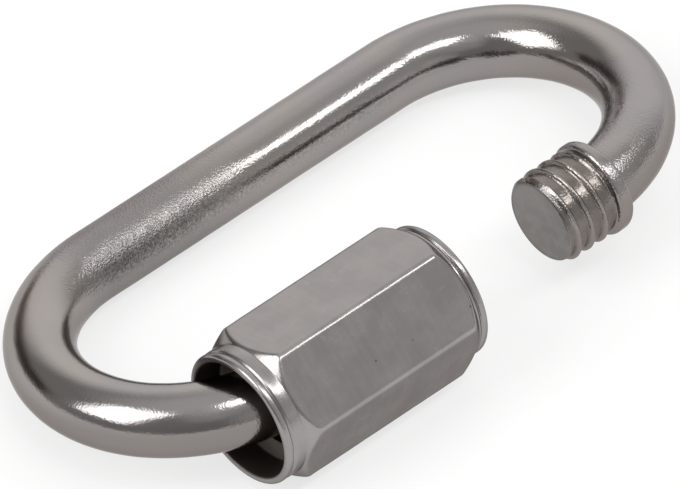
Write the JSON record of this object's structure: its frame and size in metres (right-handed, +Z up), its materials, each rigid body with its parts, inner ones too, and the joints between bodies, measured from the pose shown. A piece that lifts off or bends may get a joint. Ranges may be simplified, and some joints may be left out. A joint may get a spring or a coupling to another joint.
{
  "type": "chain quick link",
  "caption": "Open chain quick link: a bent steel rod loop whose side gap is bridged by a long hex sleeve nut that screws across onto a short threaded stub.",
  "frame": {"origin": "centre of the link's footprint on the table it lies on", "axes": "+X along the loop from the nut towards the stub, +Y from the nut side towards the back of the loop, +Z up from the table"},
  "size_m": [0.052, 0.0288, 0.011],
  "materials": {
    "rod_steel": "bright zinc plate over drawn rod, fine grain",
    "nut_steel": "satin zinc plate over hex bar, turned ends brighter"
  },
  "bodies": {
    "rod": {"link_rod": "rod_steel"},
    "nut": {"sleeve_nut": "nut_steel"}
  },
  "joints": [
    {"name": "nut_run", "type": "slide", "parent": "rod", "child": "nut", "axis": [1, 0, 0], "range_m": [0, 0.0132]}
  ]
}
